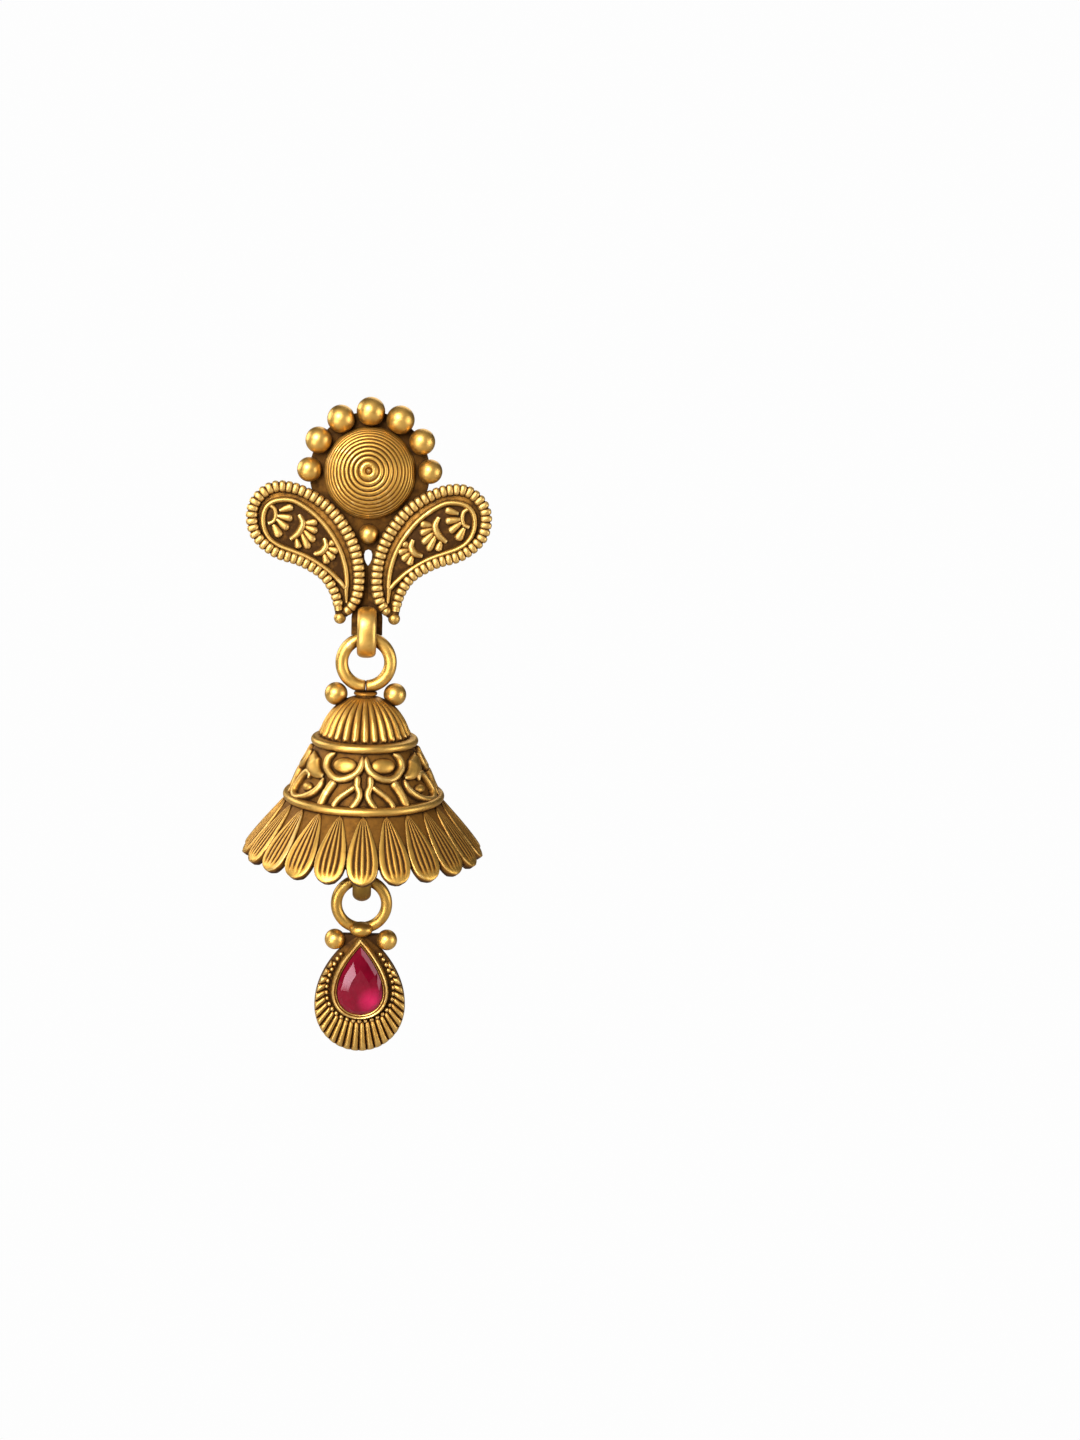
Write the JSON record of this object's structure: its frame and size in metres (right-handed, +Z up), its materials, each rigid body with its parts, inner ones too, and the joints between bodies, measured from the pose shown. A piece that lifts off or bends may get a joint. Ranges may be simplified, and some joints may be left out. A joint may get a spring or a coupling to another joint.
{
  "type": "drop earring",
  "caption": "Drop earring: a stud with a coiled dome and two paisleys holds a petalled bell, and the bell a pear-cut red stone drop.",
  "frame": {"origin": "on the ear post's axis, at the back face of the stud's plate", "axes": "+Z up, +Y back along the ear post into the ear, so the front faces -Y, and +X to the right seen from the front"},
  "size_m": [0.0244, 0.0254, 0.0666],
  "materials": {
    "gold": "antique gold plate, satin, dark in the recesses",
    "dark_gold": "antique gold plate, darkened",
    "post_gold": "plain polished gold plate",
    "red_stone": "polished facets"
  },
  "bodies": {
    "stud": {"stud_plate": "dark_gold", "coiled_dome": "gold", "paisley_left": "gold", "paisley_right": "gold", "ear_post": "post_gold"},
    "bell": {"bell_cap": "gold", "bell_frieze": "gold", "petal_skirt": "gold", "inner_hook": "dark_gold"},
    "drop": {"drop_setting": "gold", "pear_stone": "red_stone"}
  },
  "joints": [
    {"name": "bell_swing", "type": "hinge", "parent": "stud", "child": "bell", "pos_m": [0, -0.00208, -0.0161], "axis": [1, 0, 0], "range_deg": [-60, 60]},
    {"name": "drop_swing", "type": "hinge", "parent": "bell", "child": "drop", "pos_m": [0, -0.00208, -0.04095], "axis": [1, 0, 0], "range_deg": [-60, 60]}
  ]
}
